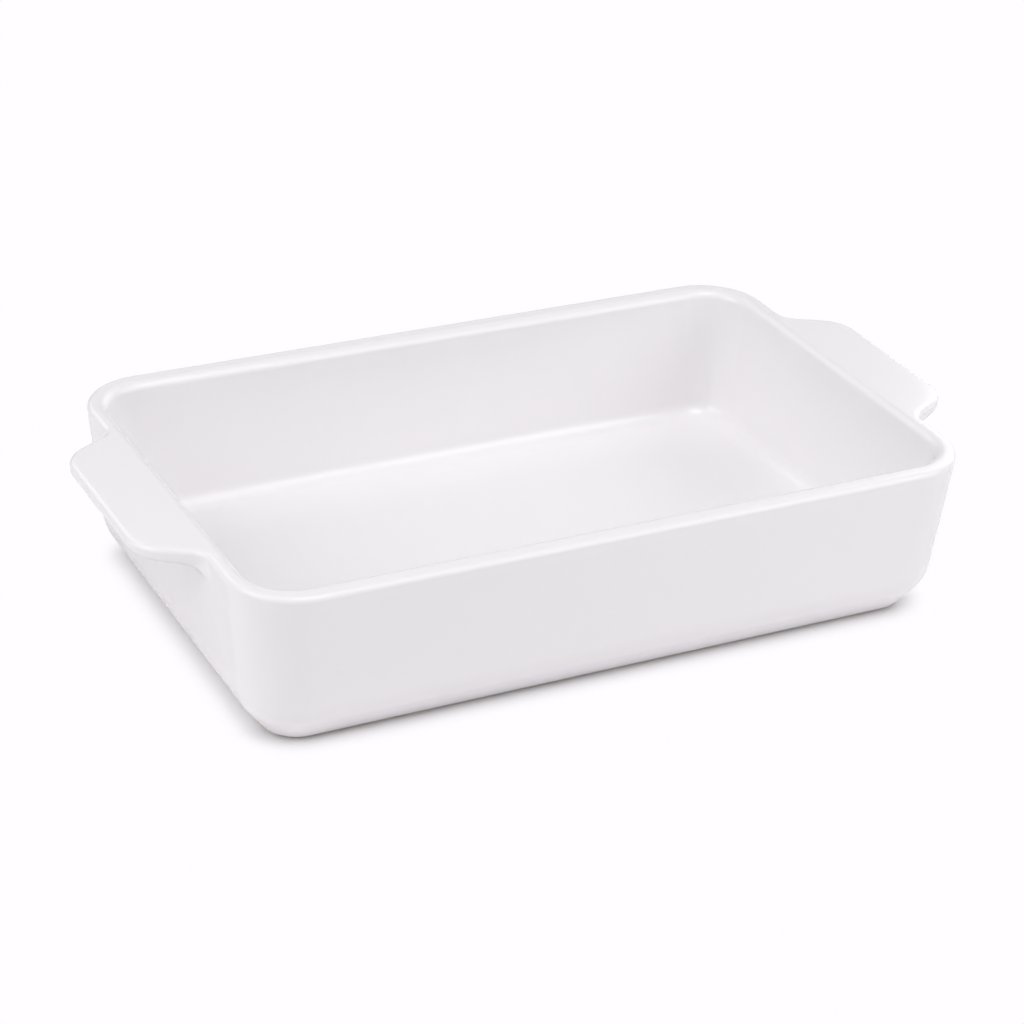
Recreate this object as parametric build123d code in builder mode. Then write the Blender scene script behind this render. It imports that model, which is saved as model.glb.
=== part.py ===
from build123d import *
from math import atan, cos, radians, sin, tan
import os

# Oblong oven dish of glazed stoneware with a lug at each end, level with its rim.
# Lengths are in millimetres and angles in degrees.
# The origin is the middle of the foot on the table, +X runs along the dish and +Z up.

# Outside of the glazed dish
rim_length = 340.0
rim_width = 218.6
dish_height = 76.0
wall_draft = 6.0
rim_corner_radius = 29.5
rim_outer_round = 2.5

# Base of the glazed dish: a slope from a rounded knee under the wall in and down to the table
base_slope = 52.0
base_inset = 18.5
base_corner_radius = 14.0
knee_corner_radius = 24.0
knee_round = 21.0

# Inside of the glazed dish
rim_end_wall = 8.0
rim_side_wall = 10.5
rim_inner_round = 4.5
rim_round_share = 0.9
hollow_corner_radius = 20.5
floor_level = 12.5
floor_inset = 14.8
floor_round = 7.5

# Glaze on every face but the foot ring
glaze_thickness = 0.5

# Foot ring, left bare
foot_height = 1.5
foot_width = 6.0
foot_edge_round = 0.6

# Lugs, seen from above: a straight tip, two round corners and two flanks that spread towards the rim
lug_reach = 24.6
lug_tip_width = 88.0
lug_flank_angle = 29.0
lug_corner_radius = 19.0

# Lugs, in section: a thin tip, an underside that falls towards the wall and a hollow blend all round the root
lug_tip_thickness = 6.2
lug_root_thickness = 8.6
lug_edge_round = 2.8
lug_blend_radius = 9.0
blend_room_share = 0.85

# Root of a lug inside the end wall, in a seat that goes past the blend
lug_root_depth = 3.6
lug_seat_margin = 3.0

# Overrun of a cut past the face that it opens
overrun = 5.0

wall_lean = tan(radians(wall_draft))
base_run = 1 / tan(radians(base_slope))
end_lean = (floor_inset - rim_end_wall) / (dish_height - floor_level)
side_lean = (floor_inset - rim_side_wall) / (dish_height - floor_level)
floor_corner_radius = hollow_corner_radius + rim_side_wall - floor_inset
rim_set_back = rim_outer_round * tan(radians(90 + wall_draft) / 2)
inner_round = min(rim_inner_round, rim_round_share * (min(rim_end_wall, rim_side_wall) - rim_set_back))
foot_inner_inset = base_inset + glaze_thickness / sin(radians(base_slope)) + foot_width
foot_inner_corner_radius = base_corner_radius - foot_width

rim_half_length = rim_length / 2
root_back = rim_half_length - lug_root_depth
lug_flank_spread = tan(radians(lug_flank_angle))
root_half_width = lug_tip_width / 2 + lug_reach * lug_flank_spread
blend_room = rim_width / 2 - rim_corner_radius - root_half_width
blend_radius = min(lug_blend_radius, blend_room_share * blend_room / tan(radians(90 - lug_flank_angle) / 2))
seat_half_width = root_half_width + blend_radius + lug_seat_margin
seat_height = lug_root_thickness + blend_radius + lug_seat_margin


def wall_inset(level, skin):
    """Distance from the rim's outline in to the outer wall at a height, a skin below the glaze."""
    return (dish_height - level) * wall_lean + skin / cos(radians(wall_draft))


def slope_inset(level, skin):
    """Distance from the rim's outline in to the slope of the base at a height, a skin below the glaze."""
    return base_inset - level * base_run + skin / sin(radians(base_slope))


def outline(level, end_inset, side_inset, corner_radius):
    """Rounded oblong at a height, set in from the outline of the rim at its ends and along its sides."""
    with BuildSketch(Plane.XY.offset(level)) as oblong:
        RectangleRounded(rim_length - 2 * end_inset, rim_width - 2 * side_inset, corner_radius)
    return oblong.sketch


def outer_form(skin):
    """Outside of the dish from its rim down to the table, without its lugs, a skin below the glaze."""
    top = dish_height - skin
    knee = (slope_inset(0, skin) - wall_inset(0, skin)) / (base_run - wall_lean)
    with BuildPart() as solid:
        top_inset = wall_inset(top, skin)
        knee_inset = wall_inset(knee, skin)
        foot_inset = slope_inset(0, skin)
        add(outline(top, top_inset, top_inset, rim_corner_radius - top_inset))
        add(outline(knee, knee_inset, knee_inset, knee_corner_radius - skin))
        add(outline(0, foot_inset, foot_inset, base_corner_radius - skin))
        loft(ruled=True)
        fillet(solid.edges().group_by(Axis.Z)[2], knee_round - skin)
    return solid.part


def block(skin):
    """Solid block of the dish's outside above its foot ring, a skin below the glaze."""
    with BuildPart() as solid:
        add(outer_form(skin))
        split(bisect_by=Plane.XY.offset(foot_height + skin), keep=Keep.TOP)
    return solid.part


def hollow_outline(level, skin):
    """Rounded oblong of the hollow at a height, a skin wider than the glazed one."""
    rise = level - floor_level
    end_inset = floor_inset - end_lean * rise - skin / cos(atan(end_lean))
    side_inset = floor_inset - side_lean * rise - skin / cos(atan(side_lean))
    return outline(level, end_inset, side_inset, floor_corner_radius + side_lean * rise + skin)


def cavity(skin):
    """Space inside the dish up to its rim, a skin wider than the glazed one."""
    with BuildPart() as space:
        add(hollow_outline(dish_height - skin, skin))
        add(hollow_outline(floor_level - skin, skin))
        loft(ruled=True)
        fillet(space.faces().sort_by(Axis.Z)[0].edges(), floor_round + skin)
    return space.part


def lug(skin):
    """Right lug with its root in the wall and without its blend, a skin below the glaze."""
    top = dish_height - skin
    tip = rim_half_length + lug_reach
    back_half_width = lug_tip_width / 2 + (lug_reach + lug_root_depth) * lug_flank_spread
    underside = Plane(
        origin=(rim_half_length, 0, dish_height - lug_root_thickness),
        x_dir=(lug_reach, 0, lug_root_thickness - lug_tip_thickness),
        z_dir=(lug_tip_thickness - lug_root_thickness, 0, lug_reach),
    )
    with BuildPart() as solid:
        with BuildSketch(Plane.XY.offset(dish_height)):
            with BuildLine():
                Polyline(
                    (root_back, -back_half_width),
                    (tip, -lug_tip_width / 2),
                    (tip, lug_tip_width / 2),
                    (root_back, back_half_width),
                    close=True,
                )
            make_face()
            offset(amount=-skin / cos(radians(wall_draft)), kind=Kind.INTERSECTION)
            fillet(vertices().group_by(Axis.X)[-1], lug_corner_radius - skin)
        extrude(amount=2 * lug_root_thickness, dir=(0, 0, -1), taper=wall_draft)
        split(bisect_by=Plane.XY.offset(top), keep=Keep.BOTTOM)
        split(bisect_by=underside.offset(skin), keep=Keep.TOP)
        lower_edges = solid.faces().sort_by(Axis.Z)[0].edges().sort_by(Axis.X)[1:]
        fillet(lower_edges, lug_edge_round - skin)
    return solid.part


def lug_seat():
    """Box round the right lug, its blend and its root in the wall."""
    with BuildPart() as box:
        with BuildSketch(Plane.XY.offset(dish_height - seat_height)):
            with Locations((root_back, 0)):
                Rectangle(lug_root_depth + lug_reach + overrun, 2 * seat_half_width, align=(Align.MIN, Align.CENTER))
        extrude(amount=seat_height + overrun)
    return box.part


def both(right):
    """A piece at the right end and its mirror image at the left one."""
    return [right, mirror(right, about=Plane.YZ, mode=Mode.PRIVATE)]


def dish(skin):
    """Whole dish with both lugs and its hollow, a skin below the glaze."""
    with BuildPart() as solid:
        add(block(skin))
        for piece in both(lug(skin)):
            add(piece)
            root_edges = solid.edges(Select.NEW).group_by(Axis.Z)[:-1]
            fillet([edge for group in root_edges for edge in group], blend_radius + skin)
        rim = solid.faces().sort_by(Axis.Z)[-1]
        fillet(rim.edges(), rim_outer_round - skin)
        add(cavity(skin), mode=Mode.SUBTRACT)
        rim = solid.faces().sort_by(Axis.Z)[-1]
        fillet(rim.inner_wires().edges(), inner_round - skin)
    return solid.part


def foot_hole(height):
    """Space within the foot ring up to a height."""
    with BuildPart() as hole:
        add(outline(0, foot_inner_inset, foot_inner_inset, foot_inner_corner_radius))
        extrude(amount=height)
    return hole.part


def finish(piece, name):
    """Label a piece and write it."""
    piece.label = name
    export_step(piece, f"parts/{name}.step")


glazed = dish(0)
clay = dish(glaze_thickness)

# Clay pieces

right_seat, left_seat = both(lug_seat())

with BuildPart() as body:
    add(clay)
    add([right_seat, left_seat], mode=Mode.SUBTRACT)

with BuildPart() as right_handle:
    add(clay)
    add(right_seat, mode=Mode.INTERSECT)

with BuildPart() as left_handle:
    add(clay)
    add(left_seat, mode=Mode.INTERSECT)

with BuildPart() as foot_ring:
    add(outer_form(glaze_thickness))
    split(bisect_by=Plane.XY.offset(foot_height + glaze_thickness), keep=Keep.BOTTOM)
    add(foot_hole(foot_height + glaze_thickness), mode=Mode.SUBTRACT)
    fillet(foot_ring.faces().sort_by(Axis.Z)[0].edges(), foot_edge_round)

# Glaze: one coat outside and over the rim, one inside it and one within the foot ring

with BuildPart() as coat:
    add(glazed)
    add([clay, foot_ring.part], mode=Mode.SUBTRACT)

with BuildPart() as liner_zone:
    add(cavity(2 * glaze_thickness))
    split(bisect_by=Plane.XY.offset(dish_height - inner_round), keep=Keep.BOTTOM)

with BuildPart() as underside_zone:
    zone_inset = foot_inner_inset - foot_width / 2
    add(outline(0, zone_inset, zone_inset, foot_inner_corner_radius + foot_width / 2))
    extrude(amount=(foot_height + floor_level) / 2)

with BuildPart() as liner_glaze:
    add(coat.part)
    add(liner_zone.part, mode=Mode.INTERSECT)

with BuildPart() as underside_glaze:
    add(coat.part)
    add(underside_zone.part, mode=Mode.INTERSECT)

with BuildPart() as outer_glaze:
    add(coat.part)
    add([liner_zone.part, underside_zone.part], mode=Mode.SUBTRACT)

os.makedirs("parts", exist_ok=True)
finish(body.part, "body")
finish(right_handle.part, "right_handle")
finish(left_handle.part, "left_handle")
finish(foot_ring.part, "foot_ring")
finish(liner_glaze.part, "liner_glaze")
finish(underside_glaze.part, "underside_glaze")
finish(outer_glaze.part, "outer_glaze")
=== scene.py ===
from math import cos, pi, radians, sin, tan

import bpy
import numpy as np
from mathutils import Matrix, Vector


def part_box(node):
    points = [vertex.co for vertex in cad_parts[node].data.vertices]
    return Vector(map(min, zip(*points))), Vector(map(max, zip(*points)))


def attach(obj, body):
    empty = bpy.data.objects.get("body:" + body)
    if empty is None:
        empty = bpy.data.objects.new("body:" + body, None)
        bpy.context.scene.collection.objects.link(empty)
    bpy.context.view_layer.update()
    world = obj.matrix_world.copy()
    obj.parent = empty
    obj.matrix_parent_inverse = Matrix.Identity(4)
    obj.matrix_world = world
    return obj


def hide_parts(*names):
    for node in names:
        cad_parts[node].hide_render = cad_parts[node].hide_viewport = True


bl_info = {
    "name": "Glazed oven dish",
    "version": (1, 0, 0),
    "blender": (4, 5, 0),
    "location": "View3D > Sidebar > Oven dish",
    "description": "Dresses an oblong stoneware dish in its glaze and sets it in a white studio",
    "category": "Object",
}

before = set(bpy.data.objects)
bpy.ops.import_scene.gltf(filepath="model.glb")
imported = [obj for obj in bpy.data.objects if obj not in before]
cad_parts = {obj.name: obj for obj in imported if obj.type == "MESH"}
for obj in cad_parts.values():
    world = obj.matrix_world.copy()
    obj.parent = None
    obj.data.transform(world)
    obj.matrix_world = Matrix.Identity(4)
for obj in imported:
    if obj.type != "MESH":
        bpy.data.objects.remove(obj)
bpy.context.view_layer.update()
dish_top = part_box("outer_glaze")[1].z

# Edges that bend by more than this are shaded as sharp.
sharp_bend = radians(50)

# From the middle of the dish's foot to each lamp.
lamp_distance = 1.7

# Steps of the mesh round the rim: along a lug's tip, round its corner, down its flank, round its
# blend, along the plain end wall, round a corner of the dish and along a side.
tip_steps = 10
lug_corner_steps = 20
flank_steps = 8
blend_steps = 14
wall_steps = 8
corner_steps = 28
side_steps = 30

# Steps of the mesh from the floor of the hollow up over the rim and down to the bare clay.
floor_round_steps = 14
inner_round_steps = 14
rim_flat_steps = 4
outer_round_steps = 12
lug_face_steps = (5, 8, 12, 14, 4)
upper_wall_steps = 5
knee_steps = 14
slope_steps = 6


def length(name, description, default):
    """A size in metres for the sidebar."""
    return bpy.props.FloatProperty(
        name=name, description=description, default=default, min=0, unit="LENGTH", precision=4
    )


def slope(name, description, default):
    """An angle for the sidebar, its default given in degrees."""
    return bpy.props.FloatProperty(
        name=name, description=description, default=radians(default), subtype="ANGLE"
    )


def colour(name, description, default):
    """A colour for the sidebar."""
    return bpy.props.FloatVectorProperty(
        name=name, description=description, default=default, min=0, max=1, subtype="COLOR", size=3
    )


def share(name, description, default):
    """A plain number for the sidebar."""
    return bpy.props.FloatProperty(name=name, description=description, default=default, min=0)


class DishSizes(bpy.types.PropertyGroup):
    """Sizes of the glazed dish."""

    length: length("Rim length", "Length over the rim, without the lugs", 0.340)
    width: length("Rim width", "Width over the rim", 0.2186)
    height: length("Height", "Height of the rim above the table", dish_top)
    draft: slope("Wall draft", "Lean of the outer wall", 6.0)
    rim_corner: length("Rim corner radius", "Corner radius of the rim, from above", 0.0295)
    rim_outer_round: length("Outer rim round", "Radius of the rim's outer edge", 0.0025)
    base_slope: slope("Base slope", "Angle of the base's slope to the table", 52.0)
    base_inset: length("Base inset", "From the rim's outline in to the foot of the slope", 0.0185)
    base_corner: length("Base corner radius", "Corner radius of the slope at the table", 0.014)
    knee_corner: length("Knee corner radius", "Corner radius where the wall meets the slope", 0.024)
    knee_round: length("Knee round", "Radius from the wall into the slope", 0.021)
    end_wall: length("End wall", "Thickness of the end walls at the rim", 0.008)
    side_wall: length("Side wall", "Thickness of the long walls at the rim", 0.0105)
    rim_inner_round: length("Inner rim round", "Radius of the rim's inner edge", 0.0045)
    hollow_corner: length("Hollow corner radius", "Corner radius of the hollow at the rim", 0.0205)
    floor_level: length("Floor level", "Height of the floor inside the dish", 0.0125)
    floor_inset: length("Floor inset", "From the rim's outline in to the inner walls' foot", 0.0148)
    floor_round: length("Floor round", "Radius from the floor into the inner wall", 0.0075)
    glaze: length("Glaze thickness", "Thickness of the glaze", 0.0005)
    foot_height: length("Foot height", "Height of the bare clay above the table", 0.0015)


class LugSizes(bpy.types.PropertyGroup):
    """Sizes of the two lugs."""

    reach: length("Reach", "From the rim's outline out to the tip", 0.0246)
    tip_width: length("Tip width", "Width at the tip before its corners are rounded", 0.088)
    flank: slope("Flank angle", "Spread of the two flanks towards the rim", 29.0)
    corner: length("Corner radius", "Radius of the lug's two corners, from above", 0.019)
    tip_thickness: length("Tip thickness", "Thickness of the lug at its tip", 0.0062)
    root_thickness: length("Root thickness", "Thickness of the lug at the wall", 0.0086)
    edge_round: length("Lower edge round", "Radius of the lug's lower edge", 0.0028)
    blend: length("Root blend", "Radius of the hollow between the lug and the wall", 0.009)


class GlazeLook(bpy.types.PropertyGroup):
    """Colours and finish of the glaze and the clay."""

    white: colour("White", "Colour of the glaze where it lies thick", (0.872, 0.854, 0.874))
    thin: colour("Thin glaze", "Colour where an edge draws the glaze thin", (0.84, 0.822, 0.842))
    gloss: share("Roughness", "Roughness of the glaze", 0.16)
    clay: colour("Clay", "Colour of the fired clay", (0.80, 0.77, 0.71))
    clay_dark: colour("Clay grain", "Colour of the darker grains in the clay", (0.62, 0.57, 0.50))


class StudioLook(bpy.types.PropertyGroup):
    """Lamps and floor of the studio."""

    backdrop: colour("Backdrop", "Colour of the floor and of the background", (1.0, 0.982, 1.0))
    floor: share("Floor", "Share of its light that the floor gives back to the camera", 0.78)
    shadow_reach: length("Shadow reach", "How far from the base the shadow fades out", 0.019)
    bounce: share("Bounce", "Share of its light that the floor gives back to the dish", 0.95)
    mirrored: share("Mirrored backdrop", "Strength of the backdrop as the glaze mirrors it", 0.6)
    top_lamp: share("Top lamp", "Power of the lamp above the front of the dish", 12.5)
    left_lamp: share("Left lamp", "Power of the lamp off the left end", 15.8)
    right_lamp: share("Right lamp", "Power of the lamp to the front right", 12.6)
    back_right_lamp: share("Back right lamp", "Power of the lamp behind the right end", 9.0)
    back_left_lamp: share("Back left lamp", "Power of the lamp behind the left end", 4.6)


class Wire:
    """A socket of a node, on which maths is written as plain expressions."""

    def __init__(self, tree, socket):
        self.tree = tree
        self.socket = socket

    def maths(self, operation, *values):
        """A Math node with these values."""
        return self.tree.add("ShaderNodeMath", {"operation": operation}, dict(enumerate(values)))[0]

    def vector_maths(self, operation, *values):
        """A Vector Math node with these values."""
        inputs = dict(enumerate(values))
        return self.tree.add("ShaderNodeVectorMath", {"operation": operation}, inputs)

    def __add__(self, other):
        return self.maths("ADD", self, other)

    __radd__ = __add__

    def __sub__(self, other):
        return self.maths("SUBTRACT", self, other)

    def __rsub__(self, other):
        return self.maths("SUBTRACT", other, self)

    def __mul__(self, other):
        return self.maths("MULTIPLY", self, other)

    __rmul__ = __mul__

    def between(self, low, high):
        """0 below low, 1 above high and a smooth rise from one to the other."""
        settings = {"interpolation_type": "SMOOTHSTEP"}
        inputs = {"Value": self, "From Min": low, "From Max": high}
        return self.tree.add("ShaderNodeMapRange", settings, inputs)[0]


class Node:
    """A node whose outputs are wires, by name or by number."""

    def __init__(self, tree, node):
        self.tree = tree
        self.node = node

    def __getitem__(self, key):
        by_identifier = {socket.identifier: socket for socket in self.node.outputs}
        return Wire(self.tree, by_identifier.get(key) or self.node.outputs[key])


class Tree:
    """A node tree to which nodes are added with their settings and inputs."""

    def __init__(self, tree):
        self.tree = tree
        self.tree.nodes.clear()

    def add(self, kind, settings, inputs):
        """A node of this kind, with its settings made first and then its values and links."""
        node = self.tree.nodes.new(kind)
        for name, value in settings.items():
            setattr(node, name, value)
        by_identifier = {socket.identifier: socket for socket in node.inputs}
        for name, value in inputs.items():
            socket = by_identifier.get(name) or node.inputs[name]
            several = isinstance(value, tuple) and isinstance(value[0], Wire)
            for part in value if several else (value,):
                if isinstance(part, Wire):
                    self.tree.links.new(part.socket, socket)
                else:
                    socket.default_value = part
        return Node(self, node)

    def mix(self, factor, first, second):
        """A colour between two others."""
        inputs = {"Factor_Float": factor, "A_Color": first, "B_Color": second}
        return self.add("ShaderNodeMix", {"data_type": "RGBA"}, inputs)["Result_Color"]


def rgba(value):
    """A colour with full alpha."""
    return (*value, 1.0)


def material(name):
    """A new material and its tree."""
    made = bpy.data.materials.new(name)
    made.use_nodes = True
    return made, Tree(made.node_tree)


def noise(tree, place, scale, detail, roughness):
    """Soft noise over the piece, from 0 to 1, with its scale in features per metre."""
    inputs = {"Vector": place, "Scale": scale, "Detail": detail, "Roughness": roughness}
    return tree.add("ShaderNodeTexNoise", {}, inputs)["Fac"]


def white_glaze(name, look):
    """Thick white glaze: an even milky colour under a clear gloss that isn't quite level."""
    ripple_height = 0.0001
    skin_height = 0.000004
    made, tree = material(name)
    place = tree.add("ShaderNodeTexCoord", {}, {})["Object"]
    thin = tree.add("ShaderNodeAttribute", {"attribute_name": "thin_glaze"}, {})["Fac"]
    pooled = noise(tree, place, scale=16.0, detail=3.0, roughness=0.5)
    ripple = noise(tree, place, scale=60.0, detail=2.0, roughness=0.4)
    skin = noise(tree, place, scale=900.0, detail=2.0, roughness=0.5)
    drawn = thin * 0.7 + pooled * 0.3
    tone = tree.mix(drawn, rgba(look.white), rgba(look.thin))
    height = ripple * ripple_height + skin * skin_height
    bump = tree.add("ShaderNodeBump", {}, {"Height": height, "Distance": 1.0, "Strength": 1.0})
    values = {
        "Base Color": tone,
        "Roughness": pooled * 0.05 + skin * 0.03 + thin * 0.05 + look.gloss,
        "Normal": bump["Normal"],
        "IOR": 1.5,
    }
    shader = tree.add("ShaderNodeBsdfPrincipled", {}, values)
    tree.add("ShaderNodeOutputMaterial", {}, {"Surface": shader["BSDF"]})
    return made


def fired_clay(name, look):
    """Bare fired clay: matt, a little sandy and mottled."""
    sand_height = 0.00006
    speck_depth = 0.00003
    made, tree = material(name)
    place = tree.add("ShaderNodeTexCoord", {}, {})["Object"]
    mottle = noise(tree, place, scale=120.0, detail=4.0, roughness=0.6)
    sand = noise(tree, place, scale=2600.0, detail=3.0, roughness=0.7)
    grain = tree.add("ShaderNodeTexVoronoi", {}, {"Vector": place, "Scale": 1400.0})["Distance"]
    specks = 1.0 - grain.between(0.08, 0.22)
    tone = tree.mix(specks * 0.5 + mottle * 0.25, rgba(look.clay), rgba(look.clay_dark))
    height = sand * sand_height - specks * speck_depth
    bump = tree.add("ShaderNodeBump", {}, {"Height": height, "Distance": 1.0, "Strength": 1.0})
    values = {
        "Base Color": tone,
        "Roughness": 0.72 + sand * 0.18,
        "Normal": bump["Normal"],
        "IOR": 1.45,
    }
    shader = tree.add("ShaderNodeBsdfPrincipled", {}, values)
    tree.add("ShaderNodeOutputMaterial", {}, {"Surface": shader["BSDF"]})
    return made


# The frame has materials of its own by the names of its slots, so these have other names.
finishes = {"glossy_white": white_glaze, "bare_clay": fired_clay}


def finish_named(name, look):
    """The finish of this name, made on its first use."""
    return bpy.data.materials.get(name) or finishes[name](name, look)


def dress(name, finish):
    """Put a material on a CAD node whose shape is shown as it is."""
    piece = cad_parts[name]
    piece.data.materials.clear()
    piece.data.materials.append(finish)


def steps(count):
    """Numbers from 0 to 1 with this many steps between them."""
    return np.linspace(0.0, 1.0, count + 1)


class Outline:
    """The dish seen from above: one column of the mesh for each place round its rim.

    A column has a root on the plain oblong, which can be drawn at any inset and
    corner radius, and an edge on the rim's outline, which also goes round the lugs.
    """

    # Share of a lug's straight tip whose columns run square to the end wall.
    straight_share = 0.75

    def __init__(self, sizes, lug):
        self.half = np.array([sizes.length, sizes.width]) / 2
        self.straight = self.half - sizes.rim_corner
        turn = np.array([-1.0, -1.0])
        middle, facing, edge, lean = self.end(sizes, lug)
        quarter = steps(corner_steps)[1:-1] * pi / 2
        bend = np.stack([np.cos(quarter), np.sin(quarter)], 1)
        back = np.stack([1 - 2 * steps(side_steps), np.ones(side_steps + 1)], 1)
        up = np.tile([0.0, 1.0], (side_steps + 1, 1))
        other_bend = bend[::-1] * [-1.0, 1.0]
        other_middle = np.tile([-1.0, 1.0], (len(bend), 1))
        plain_middle = np.concatenate([np.ones_like(bend), back, other_middle])
        plain_facing = np.concatenate([bend, up, other_bend])
        middle = np.concatenate([middle, plain_middle])
        facing = np.concatenate([facing, plain_facing])
        plain_edge = plain_middle * self.straight + plain_facing * sizes.rim_corner
        edge = np.concatenate([edge, plain_edge])
        lean = np.concatenate([lean, plain_facing])
        self.on_lug = np.zeros(2 * len(middle), bool)
        self.on_lug[: self.end_count] = True
        self.on_lug[len(middle) : len(middle) + self.end_count] = True
        self.middle = np.concatenate([middle, turn * middle])
        self.facing = np.concatenate([facing, turn * facing])
        self.edge = np.concatenate([edge, turn * edge])
        self.lean = np.concatenate([lean, turn * lean])

    def end(self, sizes, lug):
        """Columns across the right end, from its front corner to its back one."""
        spread = pi / 2 - lug.flank
        tip_end = lug.tip_width / 2 - lug.corner * tan(spread / 2)
        root_end = lug.tip_width / 2 + lug.reach * tan(lug.flank)
        blend_end = root_end + lug.blend * tan(spread / 2)
        tip = np.stack([np.full(tip_steps, lug.reach), steps(tip_steps)[:-1] * tip_end], 1)
        tip_lean = np.tile([1.0, 0.0], (tip_steps, 1))
        turn = steps(lug_corner_steps)[:-1] * spread
        corner_lean = np.stack([np.cos(turn), np.sin(turn)], 1)
        corner = [lug.reach - lug.corner, tip_end] + lug.corner * corner_lean
        flank_facing = np.array([cos(spread), sin(spread)])
        flank_start = [lug.reach - lug.corner, tip_end] + lug.corner * flank_facing
        flank_end = [lug.blend, blend_end] - lug.blend * flank_facing
        flank = flank_start + steps(flank_steps)[:-1, None] * (flank_end - flank_start)
        flank_lean = np.tile(flank_facing, (flank_steps, 1))
        turn = (1 - steps(blend_steps)[:-1]) * spread
        blend_lean = np.stack([np.cos(turn), np.sin(turn)], 1)
        blend = [lug.blend, blend_end] - lug.blend * blend_lean
        edge = np.concatenate([tip, corner, flank, blend])
        lean = np.concatenate([tip_lean, corner_lean, flank_lean, blend_lean])
        run = np.concatenate([[0], np.cumsum(np.linalg.norm(np.diff(edge, axis=0), axis=1))])
        rest = np.linalg.norm(edge[-1] - [0, blend_end])
        fan_start = self.straight_share * tip_end
        fan = (blend_end - fan_start) / (run[-1] + rest - fan_start)
        root = np.where(run < fan_start, run, fan_start + (run - fan_start) * fan)
        wall = blend_end + steps(wall_steps) * (self.straight[1] - blend_end)
        root = np.concatenate([root, wall])
        edge = np.concatenate([edge, np.stack([np.zeros_like(wall), wall], 1)])
        lean = np.concatenate([lean, np.tile([1.0, 0.0], (len(wall), 1))])
        root = np.concatenate([-root[:0:-1], root])
        edge = np.concatenate([edge[:0:-1] * [1.0, -1.0], edge]) + [self.half[0], 0]
        lean = np.concatenate([lean[:0:-1] * [1.0, -1.0], lean])
        middle = np.stack([np.ones(len(root)), root / self.straight[1]], 1)
        facing = np.tile([1.0, 0.0], (len(root), 1))
        self.end_count = len(root)
        return middle, facing, edge, lean

    def oblong(self, inset, corner):
        """The columns' places on the plain oblong with this corner radius.

        The inset is one length all round, or one at the ends and one along the sides.
        """
        return self.middle * (self.half - inset - corner) + self.facing * corner


def raised(flat, level):
    """Places on the plan at one level."""
    return np.concatenate([flat, np.full((len(flat), 1), level)], 1)


def rounded_edge(first, second, lean, radius):
    """Distance outside two faces that meet in a rounded edge.

    first and second are the distances outside each face and lean is the cosine
    between the directions that they face.
    """
    a = first + radius
    b = second + radius
    inside = (a > lean * b) & (b > lean * a)
    reach = np.sqrt(np.maximum(a * a + b * b - 2 * lean * a * b, 0) / (1 - lean * lean))
    return np.where(inside, reach - radius, np.maximum(first, second))


def hollow_join(first, second, lean, radius):
    """Distance outside two forms that meet in a hollow blend."""
    a = radius - first
    b = radius - second
    inside = (a > lean * b) & (b > lean * a)
    reach = np.sqrt(np.maximum(a * a + b * b - 2 * lean * a * b, 0) / (1 - lean * lean))
    return np.where(inside, radius - reach, np.minimum(first, second))


def end_wall_distance(place, sizes, lug):
    """How far places lie outside the right end wall with its lug and their blend."""
    out = place[..., 0] - sizes.length / 2
    side = np.abs(place[..., 1])
    drop = sizes.height - place[..., 2]
    draft = drop * tan(sizes.draft)
    wall = (out + draft) * cos(sizes.draft)
    spread = pi / 2 - lug.flank
    root_end = lug.tip_width / 2 + lug.reach * tan(lug.flank)
    flank = out * cos(spread) + (side - root_end) * sin(spread)
    tip = out - lug.reach
    centre_out = lug.reach - lug.corner
    centre_side = lug.tip_width / 2 - lug.corner * tan(spread / 2)
    off_out = out - centre_out
    off_side = side - centre_side
    in_corner = (off_side > 0) & (off_out * sin(spread) > off_side * cos(spread)) & (off_out > 0)
    plan = np.where(in_corner, np.hypot(off_out, off_side) - lug.corner, np.maximum(flank, tip))
    rim = (plan + draft) * cos(sizes.draft)
    fall = (lug.root_thickness - lug.tip_thickness) / lug.reach
    level = 1 / np.sqrt(1 + fall * fall)
    under = (drop - lug.root_thickness + fall * out) * level
    edge_lean = fall * level * cos(spread) * cos(sizes.draft) + level * sin(sizes.draft)
    slab = rounded_edge(rim, under, edge_lean, lug.edge_round)
    flank_lean = cos(spread) * cos(sizes.draft) ** 2 + sin(sizes.draft) ** 2
    under_lean = fall * level * cos(sizes.draft) + level * sin(sizes.draft)
    a = np.maximum(rim + lug.edge_round, 0)
    b = np.maximum(under + lug.edge_round, 0)
    lean = (a * flank_lean + b * under_lean) / np.maximum(a + b, 1e-9)
    return hollow_join(slab, wall, lean, lug.blend)


def settle(place, distance):
    """Move places straight on to the face where a distance is 0."""
    rounds = 12
    small = 1e-6
    for _ in range(rounds):
        off = distance(place)
        climb = np.zeros_like(place)
        for axis in range(3):
            nudge = np.zeros(3)
            nudge[axis] = small
            climb[..., axis] = (distance(place + nudge) - distance(place - nudge)) / (2 * small)
        place = place - climb * (off / np.maximum((climb**2).sum(-1), small))[..., None]
    return place


def knee_level(sizes, skin):
    """Height at which the wall's line meets the slope's, a skin below the glaze."""
    gap = sizes.base_inset - sizes.height * tan(sizes.draft)
    skin_gap = skin / sin(sizes.base_slope) - skin / cos(sizes.draft)
    return (gap + skin_gap) / (1 / tan(sizes.base_slope) - tan(sizes.draft))


def wall_corner(sizes, drop):
    """Corner radius of the outer wall at a depth below the rim."""
    loss = sizes.rim_corner - sizes.knee_corner
    return sizes.rim_corner - loss * drop / (sizes.height - knee_level(sizes, 0))


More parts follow.
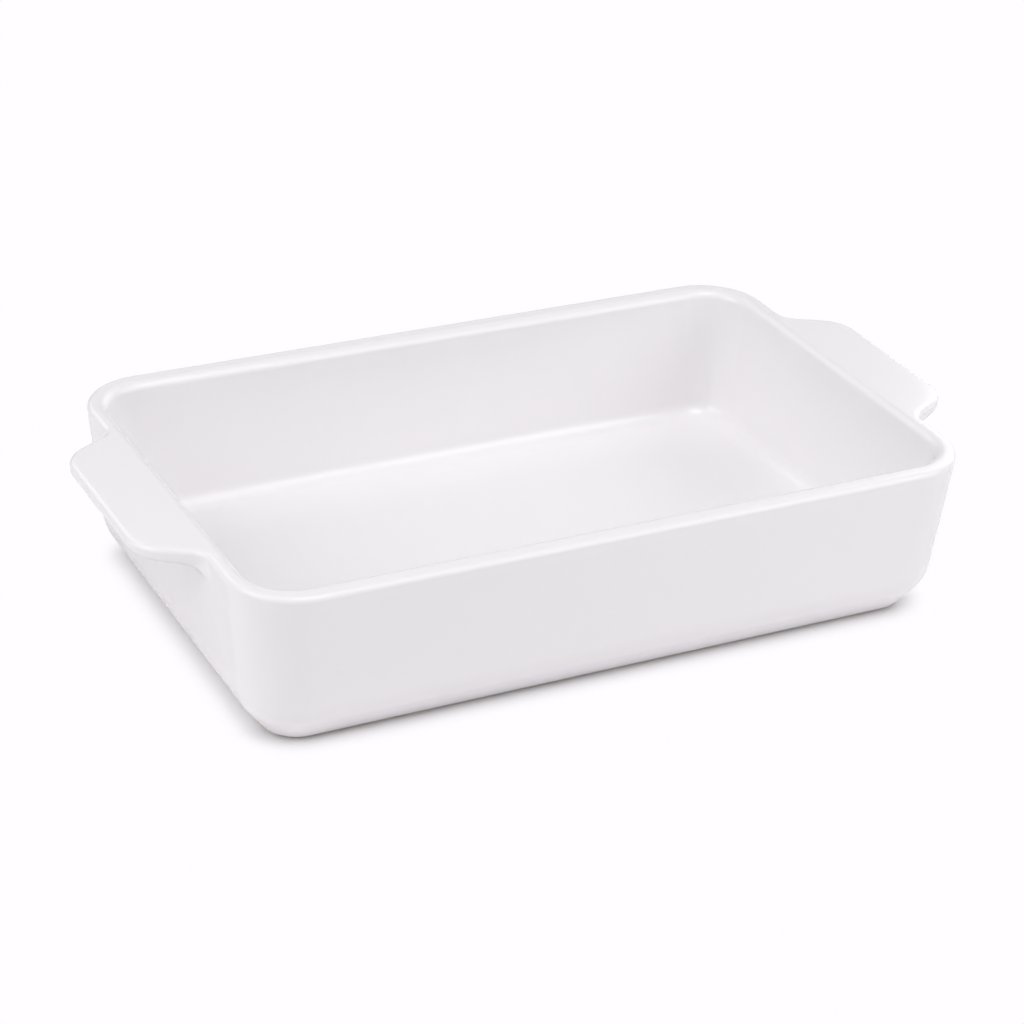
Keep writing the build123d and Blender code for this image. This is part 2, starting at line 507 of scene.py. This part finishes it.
def lug_rows(outline, sizes, lug, top_drop, end_drop):
    """Rows of the mesh from the rim's round down past the lugs to the plain wall."""
    ends = np.cumsum((0,) + lug_face_steps) / sum(lug_face_steps)
    along = steps(sum(lug_face_steps))
    turns = (
        (top_drop, 1.0),
        (lug.tip_thickness - lug.edge_round, 1.0),
        (lug.tip_thickness, 1 - lug.edge_round / lug.reach),
        (lug.root_thickness, lug.blend / lug.reach),
        (lug.root_thickness + lug.blend, 0.0),
        (end_drop, 0.0),
    )
    drops, outs = zip(*turns)
    rows = []
    root = outline.oblong(0.0, sizes.rim_corner)
    stretch = np.linalg.norm(outline.edge - root, axis=1)
    lugness = np.clip(stretch / lug.blend, 0, 1)
    for s in along:
        plain = top_drop + (end_drop - top_drop) * s
        drop = lugness * np.interp(s, ends, drops) + (1 - lugness) * plain
        out = np.interp(s, ends, outs)
        inset = drop * tan(sizes.draft)
        wall = outline.oblong(inset[:, None], wall_corner(sizes, drop)[:, None])
        edge = outline.edge - outline.lean * inset[:, None]
        flat = wall + (edge - wall) * out
        rows.append(np.concatenate([flat, (sizes.height - drop)[:, None]], 1))
    rows = np.array(rows)
    loose = outline.on_lug
    which_end = np.sign(rows[:, loose, 0:1])
    mirroring = np.concatenate([which_end, np.ones_like(which_end), np.ones_like(which_end)], 2)
    settled = settle(rows[:, loose] * mirroring, lambda place: end_wall_distance(place, sizes, lug))
    rows[1:-1, loose] = (settled * mirroring)[1:-1]
    return rows


def inner_rim_rows(outline, sizes):
    """Rows up the rounded inner edge of the rim, from the liner glaze to the rim's flat."""
    radius = sizes.rim_inner_round
    wall = np.array([sizes.end_wall, sizes.side_wall])
    lean = (sizes.floor_inset - wall) / (sizes.height - sizes.floor_level)
    last_turn = pi / 2 - np.arctan(lean)
    start = wall - radius * np.tan(last_turn / 2)
    rows = []
    for turn in (1 - steps(inner_round_steps)) * pi / 2:
        drop = radius * (1 - cos(turn))
        inset = np.where(turn < last_turn, start + radius * sin(turn), wall + drop * lean)
        corner = sizes.hollow_corner + sizes.side_wall - inset[1]
        rows.append(raised(outline.oblong(inset, corner), sizes.height - drop))
    return rows


def base_rows(outline, sizes, first_drop):
    """Rows from the plain wall round the knee and down the slope to the bare clay."""
    knee = knee_level(sizes, 0)
    centre_level = knee_level(sizes, sizes.knee_round)
    centre_inset = (sizes.height - centre_level) * tan(sizes.draft)
    centre_inset += sizes.knee_round / cos(sizes.draft)
    last_turn = pi / 2 - sizes.base_slope
    turns = sizes.draft + (last_turn - sizes.draft) * steps(knee_steps)
    levels = centre_level - sizes.knee_round * np.sin(turns)
    insets = centre_inset - sizes.knee_round * np.cos(turns)
    widening = (sizes.knee_corner - sizes.base_corner) / knee
    start_corner = wall_corner(sizes, sizes.height - levels[0])
    end_corner = sizes.base_corner + widening * levels[-1]
    rows = []
    for part in steps(upper_wall_steps)[1:-1]:
        drop = first_drop + (sizes.height - levels[0] - first_drop) * part
        flat = outline.oblong(drop * tan(sizes.draft), wall_corner(sizes, drop))
        rows.append(raised(flat, sizes.height - drop))
    for level, inset in zip(levels, insets):
        gone = (inset - insets[0]) / (insets[-1] - insets[0])
        corner = start_corner + (end_corner - start_corner) * gone
        rows.append(raised(outline.oblong(inset, corner), level))
    for part in steps(slope_steps)[1:]:
        level = levels[-1] + (sizes.foot_height - levels[-1]) * part
        inset = sizes.base_inset - level / tan(sizes.base_slope)
        rows.append(raised(outline.oblong(inset, sizes.base_corner + widening * level), level))
    return rows


def outer_rows(outline, sizes, lug):
    """Every row of the outer glaze, from inside the rim out and down to the bare clay."""
    rows = inner_rim_rows(outline, sizes)
    inner_edge = rows[-1]
    set_back = sizes.rim_outer_round * tan((pi / 2 + sizes.draft) / 2)
    outer_edge = raised(outline.edge - outline.lean * set_back, sizes.height)
    for part in steps(rim_flat_steps)[1:-1]:
        rows.append(inner_edge + (outer_edge - inner_edge) * part)
    for turn in steps(outer_round_steps)[:-1] * (pi / 2 + sizes.draft):
        out = set_back - sizes.rim_outer_round * sin(turn)
        drop = sizes.rim_outer_round * (1 - cos(turn))
        rows.append(raised(outline.edge - outline.lean * out, sizes.height - drop))
    top_drop = sizes.rim_outer_round * (1 + sin(sizes.draft))
    below_blend = 0.0025
    end_drop = lug.root_thickness + lug.blend + below_blend
    wall = lug_rows(outline, sizes, lug, top_drop, end_drop)
    return np.concatenate([rows, wall, base_rows(outline, sizes, end_drop)])


def row_normals(rows):
    """Outward directions at every place of a ring of rows."""
    along = np.roll(rows, -1, 1) - np.roll(rows, 1, 1)
    down = np.gradient(rows, axis=0)
    facing = np.cross(down, along)
    return facing / np.linalg.norm(facing, axis=-1, keepdims=True)


def edge_draw(rows, facing):
    """How much each place lies on a convex edge, from 0 to 1, where glaze runs thin."""
    thinnest_radius = 0.002
    shortest = 1e-6
    step = np.gradient(rows, axis=0)
    change = np.gradient(facing, axis=0)
    bend = (step * change).sum(-1) / np.maximum((step * step).sum(-1), shortest**2)
    return np.clip(bend * thinnest_radius, 0, 1)


def shell_mesh(name, rows, thickness):
    """A closed skin of even thickness behind rows that go round the dish."""
    facing = row_normals(rows)
    count, columns = rows.shape[:2]
    both = np.concatenate([rows, (rows - facing * thickness)[::-1]])
    index = np.arange(2 * count * columns).reshape(2 * count, columns)
    below = np.roll(index, -1, 0)
    quads = np.stack([index, below, np.roll(below, -1, 1), np.roll(index, -1, 1)], -1)
    mesh = bpy.data.meshes.new(name)
    mesh.from_pydata(both.reshape(-1, 3).tolist(), [], quads.reshape(-1, 4).tolist())
    thin = np.concatenate([edge_draw(rows, facing), np.zeros((count, columns))])
    mesh.attributes.new("thin_glaze", "FLOAT", "POINT").data.foreach_set("value", thin.ravel())
    mesh.polygons.foreach_set("use_smooth", [True] * len(mesh.polygons))
    mesh.update()
    return mesh


def show(name, mesh, finish):
    """Show a mesh as the piece that stands for the CAD node of this name."""
    made = bpy.data.objects.new(name + "_skin", mesh)
    bpy.context.scene.collection.objects.link(made)
    mesh.materials.clear()
    mesh.materials.append(finish)
    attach(made, "root")
    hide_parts(name)


def tray_tree():
    """Geometry nodes for a tray: a bent section carried round an oblong and closed by its floor.

    The section's points are given as the distance in from the oblong and the depth
    below the origin, both below 0. Its first point is the one that the floor joins. The
    end lean pushes the two ends out by so much for each length above the floor.
    """
    group = bpy.data.node_groups.new("glazed_tray", "GeometryNodeTree")
    sockets = (
        ("Length", "NodeSocketFloat"),
        ("Width", "NodeSocketFloat"),
        ("Outline corner radius", "NodeSocketFloat"),
        ("First point", "NodeSocketVector"),
        ("Corner point", "NodeSocketVector"),
        ("Last point", "NodeSocketVector"),
        ("Section radius", "NodeSocketFloat"),
        ("Section steps", "NodeSocketInt"),
        ("Corner steps", "NodeSocketInt"),
        ("Floor level", "NodeSocketFloat"),
        ("End lean", "NodeSocketFloat"),
        ("Glaze", "NodeSocketMaterial"),
    )
    for name, kind in sockets:
        group.interface.new_socket(name, in_out="INPUT", socket_type=kind)
    group.interface.new_socket("Tray", in_out="OUTPUT", socket_type="NodeSocketGeometry")
    tree = Tree(group)
    given = tree.add("NodeGroupInput", {}, {})
    same = {"data_type": "INT", "operation": "EQUAL"}
    level_margin = 0.00001
    weld_distance = 0.000001

    size = {"Width": given["Length"], "Height": given["Width"]}
    oblong = tree.add("GeometryNodeCurvePrimitiveQuadrilateral", {"mode": "RECTANGLE"}, size)
    round_off = {
        "Curve": oblong["Curve"],
        "Count": given["Corner steps"],
        "Radius": given["Outline corner radius"],
    }
    rail = tree.add("GeometryNodeFilletCurve", {"mode": "POLY"}, round_off)
    upright = tree.add("GeometryNodeSetCurveNormal", {"mode": "Z_UP"}, {"Curve": rail["Curve"]})

    reach = {"Start": given["First point"], "End": given["Last point"]}
    line = tree.add("GeometryNodeCurvePrimitiveLine", {"mode": "POINTS"}, reach)
    split = tree.add("GeometryNodeSubdivideCurve", {}, {"Curve": line["Curve"], "Cuts": 1})
    number = tree.add("GeometryNodeInputIndex", {}, {})["Index"]
    middle = tree.add("FunctionNodeCompare", same, {"A_INT": number, "B_INT": 1})
    bend = {
        "Geometry": split["Curve"],
        "Selection": middle["Result"],
        "Position": given["Corner point"],
    }
    bent = tree.add("GeometryNodeSetPosition", {}, bend)
    round_in = {
        "Curve": bent["Geometry"],
        "Count": given["Section steps"],
        "Radius": given["Section radius"],
    }
    section = tree.add("GeometryNodeFilletCurve", {"mode": "POLY"}, round_in)
    sweep = {"Curve": upright["Curve"], "Profile Curve": section["Curve"]}
    wall = tree.add("GeometryNodeCurveToMesh", {}, sweep)

    faces = tree.add("GeometryNodeInputMeshEdgeNeighbors", {}, {})["Face Count"]
    loose = tree.add("FunctionNodeCompare", same, {"A_INT": faces, "B_INT": 1})
    place = tree.add("GeometryNodeInputPosition", {}, {})["Position"]
    axes = tree.add("ShaderNodeSeparateXYZ", {}, {"Vector": place})
    low = axes["Z"].maths("COMPARE", axes["Z"], given["Floor level"], level_margin)
    edge = tree.add("FunctionNodeBooleanMath", {"operation": "AND"}, {0: loose["Result"], 1: low})
    wall_foot = {"Mesh": wall["Mesh"], "Selection": edge["Boolean"]}
    foot = tree.add("GeometryNodeMeshToCurve", {}, wall_foot)
    fill = tree.add("GeometryNodeFillCurve", {"mode": "NGONS"}, {"Curve": foot["Curve"]})
    lift = tree.add("ShaderNodeCombineXYZ", {}, {"Z": given["Floor level"]})
    raise_up = {"Geometry": fill["Mesh"], "Translation": lift["Vector"]}
    floor = tree.add("GeometryNodeTransform", {}, raise_up)
    parts = {"Geometry": (wall["Mesh"], floor["Geometry"])}
    joined = tree.add("GeometryNodeJoinGeometry", {}, parts)
    weld = {"Geometry": joined["Geometry"], "Distance": weld_distance}
    welded = tree.add("GeometryNodeMergeByDistance", {}, weld)
    rise = axes["Z"].maths("MAXIMUM", axes["Z"] - given["Floor level"], 0.0)
    out = axes["X"].maths("SIGN", axes["X"]) * rise * given["End lean"]
    shift = tree.add("ShaderNodeCombineXYZ", {}, {"X": out})
    stretch = {"Geometry": welded["Geometry"], "Offset": shift["Vector"]}
    leant = tree.add("GeometryNodeSetPosition", {}, stretch)
    smooth = tree.add("GeometryNodeSetShadeSmooth", {}, {"Geometry": leant["Geometry"]})
    real = tree.add("GeometryNodeRealizeInstances", {}, {"Geometry": smooth["Geometry"]})
    coat = {"Geometry": real["Geometry"], "Material": given["Glaze"]}
    glazed = tree.add("GeometryNodeSetMaterial", {}, coat)
    tree.add("NodeGroupOutput", {}, {"Tray": glazed["Geometry"]})
    return group


def tray_mesh(name, thickness, values):
    """A plain mesh of the tray with these inputs and an even thickness behind its face."""
    group = bpy.data.node_groups.get("glazed_tray") or tray_tree()
    carrier = bpy.data.objects.new(name, bpy.data.meshes.new(name + "_start"))
    bpy.context.scene.collection.objects.link(carrier)
    nodes = carrier.modifiers.new("tray", "NODES")
    nodes.node_group = group
    for socket in group.interface.items_tree:
        if socket.in_out == "INPUT":
            nodes[socket.identifier] = values[socket.name]
    wall = carrier.modifiers.new("wall", "SOLIDIFY")
    wall.thickness = thickness
    wall.offset = -1
    wall.use_even_offset = True
    evaluated = carrier.evaluated_get(bpy.context.evaluated_depsgraph_get())
    mesh = bpy.data.meshes.new_from_object(evaluated)
    bpy.data.objects.remove(carrier)
    return mesh


class DISH_OT_clay(bpy.types.Operator):
    """Give the clay body, its handles and the bare foot ring their fired clay"""

    bl_idname = "dish.clay"
    bl_label = "Fired clay"

    def execute(self, context):
        clay = finish_named("bare_clay", context.scene.glaze_look)
        for name in ("body", "left_handle", "right_handle", "foot_ring"):
            dress(name, clay)
        return {"FINISHED"}


class DISH_OT_outer_glaze(bpy.types.Operator):
    """Lay the glaze over the rim, down the outside and round both lugs"""

    bl_idname = "dish.outer_glaze"
    bl_label = "Outer glaze"

    def execute(self, context):
        scene = context.scene
        outline = Outline(scene.dish_sizes, scene.lug_sizes)
        rows = outer_rows(outline, scene.dish_sizes, scene.lug_sizes)
        mesh = shell_mesh("outer_glaze_skin", rows, scene.dish_sizes.glaze)
        mesh.set_sharp_from_angle(angle=sharp_bend)
        glaze = finish_named("glossy_white", scene.glaze_look)
        show("outer_glaze", mesh, glaze)
        return {"FINISHED"}


class DISH_OT_liner_glaze(bpy.types.Operator):
    """Lay the glaze inside the dish, over its floor and its inner walls"""

    bl_idname = "dish.liner_glaze"
    bl_label = "Liner glaze"

    def execute(self, context):
        sizes = context.scene.dish_sizes
        glaze = finish_named("glossy_white", context.scene.glaze_look)
        depth = sizes.height - sizes.floor_level
        side_lean = (sizes.floor_inset - sizes.side_wall) / depth
        rail_corner = sizes.side_wall + sizes.hollow_corner
        seam = 0.001
        top_inset = sizes.side_wall + sizes.rim_inner_round * side_lean
        values = {
            "Length": sizes.length,
            "Width": sizes.width,
            "Outline corner radius": rail_corner,
            "First point": (seam - rail_corner, -sizes.floor_level, 0.0),
            "Corner point": (-sizes.floor_inset, -sizes.floor_level, 0.0),
            "Last point": (-top_inset, sizes.rim_inner_round - sizes.height, 0.0),
            "Section radius": sizes.floor_round,
            "Section steps": floor_round_steps,
            "Corner steps": corner_steps,
            "Floor level": sizes.floor_level,
            "End lean": (sizes.side_wall - sizes.end_wall) / depth,
            "Glaze": glaze,
        }
        mesh = tray_mesh("liner_glaze_skin", sizes.glaze, values)
        mesh.set_sharp_from_angle(angle=sharp_bend)
        show("liner_glaze", mesh, glaze)
        return {"FINISHED"}


class DISH_OT_underside_glaze(bpy.types.Operator):
    """Glaze the flat underside within the foot ring"""

    bl_idname = "dish.underside_glaze"
    bl_label = "Underside glaze"

    def execute(self, context):
        dress("underside_glaze", finish_named("glossy_white", context.scene.glaze_look))
        return {"FINISHED"}


class DISH_OT_studio(bpy.types.Operator):
    """Set the dish on a white floor with soft lamps and the camera"""

    bl_idname = "dish.studio"
    bl_label = "Studio"

    def execute(self, context):
        scene = context.scene
        look = scene.studio_look
        light_floor(look, scene.dish_sizes)
        light_sky(scene, look)
        lamp("top_lamp", 270, 68, 1.0, look.top_lamp)
        lamp("left_lamp", 185, 32, 1.3, look.left_lamp)
        lamp("right_lamp", 312, 32, 1.3, look.right_lamp)
        lamp("back_right_lamp", 25, 25, 1.2, look.back_right_lamp)
        lamp("back_left_lamp", 112, 34, 1.0, look.back_left_lamp)
        place_camera(scene)
        scene.view_settings.view_transform = "Standard"
        return {"FINISHED"}


def off_base(tree, sizes):
    """How far places on the floor lie outside the foot of the dish's slope."""
    inset = sizes.base_inset + sizes.base_corner
    straight = (sizes.length / 2 - inset, sizes.width / 2 - inset, 0.0)
    place = tree.add("ShaderNodeTexCoord", {}, {})["Object"]
    quarter = place.vector_maths("ABSOLUTE", place)["Vector"]
    past = place.vector_maths("SUBTRACT", quarter, straight)["Vector"]
    outside = place.vector_maths("MAXIMUM", past, (0.0, 0.0, 0.0))["Vector"]
    return place.vector_maths("LENGTH", outside)["Value"] - sizes.base_corner


def light_floor(look, sizes):
    """A wide pale floor that has the dish's shadow close round its base and is white beyond."""
    half = 4.0
    corners = [(-half, -half, 0), (half, -half, 0), (half, half, 0), (-half, half, 0)]
    mesh = bpy.data.meshes.new("floor")
    mesh.from_pydata(corners, [], [(0, 1, 2, 3)])
    floor = bpy.data.objects.new("floor", mesh)
    bpy.context.scene.collection.objects.link(floor)
    made, tree = material("studio_floor")
    bounced = rgba([look.bounce * part for part in look.backdrop])
    shaded = rgba([look.floor * part for part in look.backdrop])
    plain = tree.add("ShaderNodeBsdfDiffuse", {}, {"Color": bounced})["BSDF"]
    lit = tree.add("ShaderNodeBsdfDiffuse", {}, {"Color": shaded})["BSDF"]
    white = tree.add("ShaderNodeEmission", {}, {"Color": rgba(look.backdrop)})["Emission"]
    near = 1.0 - off_base(tree, sizes).between(0.0, look.shadow_reach)
    seen = tree.add("ShaderNodeMixShader", {}, {0: near * near, 1: white, 2: lit})["Shader"]
    camera = tree.add("ShaderNodeLightPath", {}, {})["Is Camera Ray"]
    both = tree.add("ShaderNodeMixShader", {}, {0: camera, 1: plain, 2: seen})["Shader"]
    tree.add("ShaderNodeOutputMaterial", {}, {"Surface": both})
    mesh.materials.append(made)


def light_sky(scene, look):
    """A white backdrop that only the camera and mirrored rays see."""
    world = bpy.data.worlds.new("studio_sky")
    scene.world = world
    world.use_nodes = True
    tree = Tree(world.node_tree)
    path = tree.add("ShaderNodeLightPath", {}, {})
    seen = path["Is Camera Ray"] + path["Is Glossy Ray"] * look.mirrored
    sky = tree.add("ShaderNodeBackground", {}, {"Color": rgba(look.backdrop), "Strength": seen})
    tree.add("ShaderNodeOutputWorld", {}, {"Surface": sky["Background"]})


def lamp(name, azimuth, elevation, size, power):
    """Hang a square soft lamp that faces the dish, its azimuth in degrees from +X towards +Y."""
    around, up = radians(azimuth), radians(elevation)
    away = Vector((cos(around) * cos(up), sin(around) * cos(up), sin(up)))
    data = bpy.data.lights.new(name, "AREA")
    data.shape = "SQUARE"
    data.size = size
    data.energy = power
    made = bpy.data.objects.new(name, data)
    made.location = lamp_distance * away
    made.rotation_mode = "QUATERNION"
    made.rotation_quaternion = (-away).to_track_quat("-Z", "Y")
    bpy.context.scene.collection.objects.link(made)


def place_camera(scene):
    """Set up the camera, turned and placed as in the photograph."""
    yaw, pitch, roll = 0.481, 0.484, 0.046
    right_shift, up_shift, distance = -0.000417, 0.028273, 1.317888
    ahead = Vector((sin(yaw) * cos(pitch), cos(yaw) * cos(pitch), -sin(pitch)))
    level_right = Vector((cos(yaw), -sin(yaw), 0))
    level_up = level_right.cross(ahead)
    right = cos(roll) * level_right + sin(roll) * level_up
    up = cos(roll) * level_up - sin(roll) * level_right
    focal_length, picture_width = 2923.669, 1024
    data = bpy.data.cameras.new("camera")
    data.lens = focal_length / picture_width * data.sensor_width
    data.clip_start, data.clip_end = 0.05, 50
    camera = bpy.data.objects.new("camera", data)
    place = right * right_shift + up * up_shift - ahead * distance
    turn = Matrix((right, up, -ahead)).transposed().to_4x4()
    camera.matrix_world = Matrix.Translation(place) @ turn
    scene.collection.objects.link(camera)
    scene.camera = camera


class DISH_PT_sidebar(bpy.types.Panel):
    """The dish's sizes, colours and pieces"""

    bl_idname = "DISH_PT_sidebar"
    bl_label = "Oven dish"
    bl_space_type = "VIEW_3D"
    bl_region_type = "UI"
    bl_category = "Oven dish"

    def draw(self, context):
        for group_name in groups:
            group = getattr(context.scene, group_name)
            box = self.layout.box()
            for name in group.__annotations__:
                box.prop(group, name)
        for operator in operators:
            self.layout.operator(operator.bl_idname)


groups = {
    "dish_sizes": DishSizes,
    "lug_sizes": LugSizes,
    "glaze_look": GlazeLook,
    "studio_look": StudioLook,
}
operators = (
    DISH_OT_clay,
    DISH_OT_outer_glaze,
    DISH_OT_liner_glaze,
    DISH_OT_underside_glaze,
    DISH_OT_studio,
)


def register():
    for group in groups.values():
        bpy.utils.register_class(group)
    for name, group in groups.items():
        setattr(bpy.types.Scene, name, bpy.props.PointerProperty(type=group))
    for operator in operators:
        bpy.utils.register_class(operator)
    bpy.utils.register_class(DISH_PT_sidebar)


def unregister():
    bpy.utils.unregister_class(DISH_PT_sidebar)
    for operator in reversed(operators):
        bpy.utils.unregister_class(operator)
    for name, group in groups.items():
        delattr(bpy.types.Scene, name)
        bpy.utils.unregister_class(group)


def main():
    register()
    bpy.ops.dish.clay()
    bpy.ops.dish.outer_glaze()
    bpy.ops.dish.liner_glaze()
    bpy.ops.dish.underside_glaze()
    bpy.ops.dish.studio()


if __name__ == "__main__":
    main()
